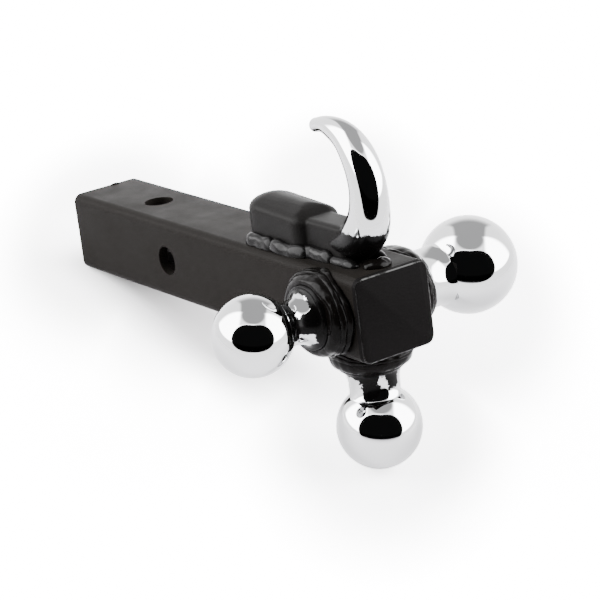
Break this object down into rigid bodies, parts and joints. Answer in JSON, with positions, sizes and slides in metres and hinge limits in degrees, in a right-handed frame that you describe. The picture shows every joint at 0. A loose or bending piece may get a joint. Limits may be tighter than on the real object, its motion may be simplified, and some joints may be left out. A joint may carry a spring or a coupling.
{
  "type": "tri-ball receiver mount with tow hook",
  "caption": "Square receiver shank with chrome hitch balls of different sizes welded round its front end and a chrome tow hook on top, for towing trailers or pulling with a strap",
  "frame": {"origin": "on the shank's centreline where the axis of the sideways pin hole crosses it", "axes": "+Y along the shank to the end that goes into the receiver, +Z to the side with the tow hook, +X to the side with the largest ball"},
  "size_m": [0.2074, 0.3188, 0.21],
  "materials": {
    "powder_coat": "satin",
    "weld_paint": "gloss",
    "ball_chrome": "polished",
    "hook_chrome": "polished"
  },
  "bodies": {
    "root": {"shank_tube": "powder_coat", "front_cap": "powder_coat", "cap_seam_bead": "powder_coat", "small_ball": "ball_chrome", "small_ball_root_pass": "weld_paint", "small_ball_fill_pass": "weld_paint", "small_ball_cover_pass": "weld_paint", "medium_ball": "ball_chrome", "medium_ball_root_pass": "weld_paint", "medium_ball_fill_pass": "weld_paint", "medium_ball_cover_pass": "weld_paint", "large_ball": "ball_chrome", "large_ball_root_pass": "weld_paint", "large_ball_fill_pass": "weld_paint", "large_ball_cover_pass": "weld_paint", "tow_hook": "hook_chrome", "hook_weld_left_1": "weld_paint", "hook_weld_left_2": "weld_paint", "hook_weld_left_3": "weld_paint", "hook_weld_left_4": "weld_paint", "hook_weld_right_1": "weld_paint", "hook_weld_right_2": "weld_paint", "hook_weld_right_3": "weld_paint", "hook_weld_right_4": "weld_paint", "hook_weld_toe": "weld_paint"}
  },
  "joints": []
}
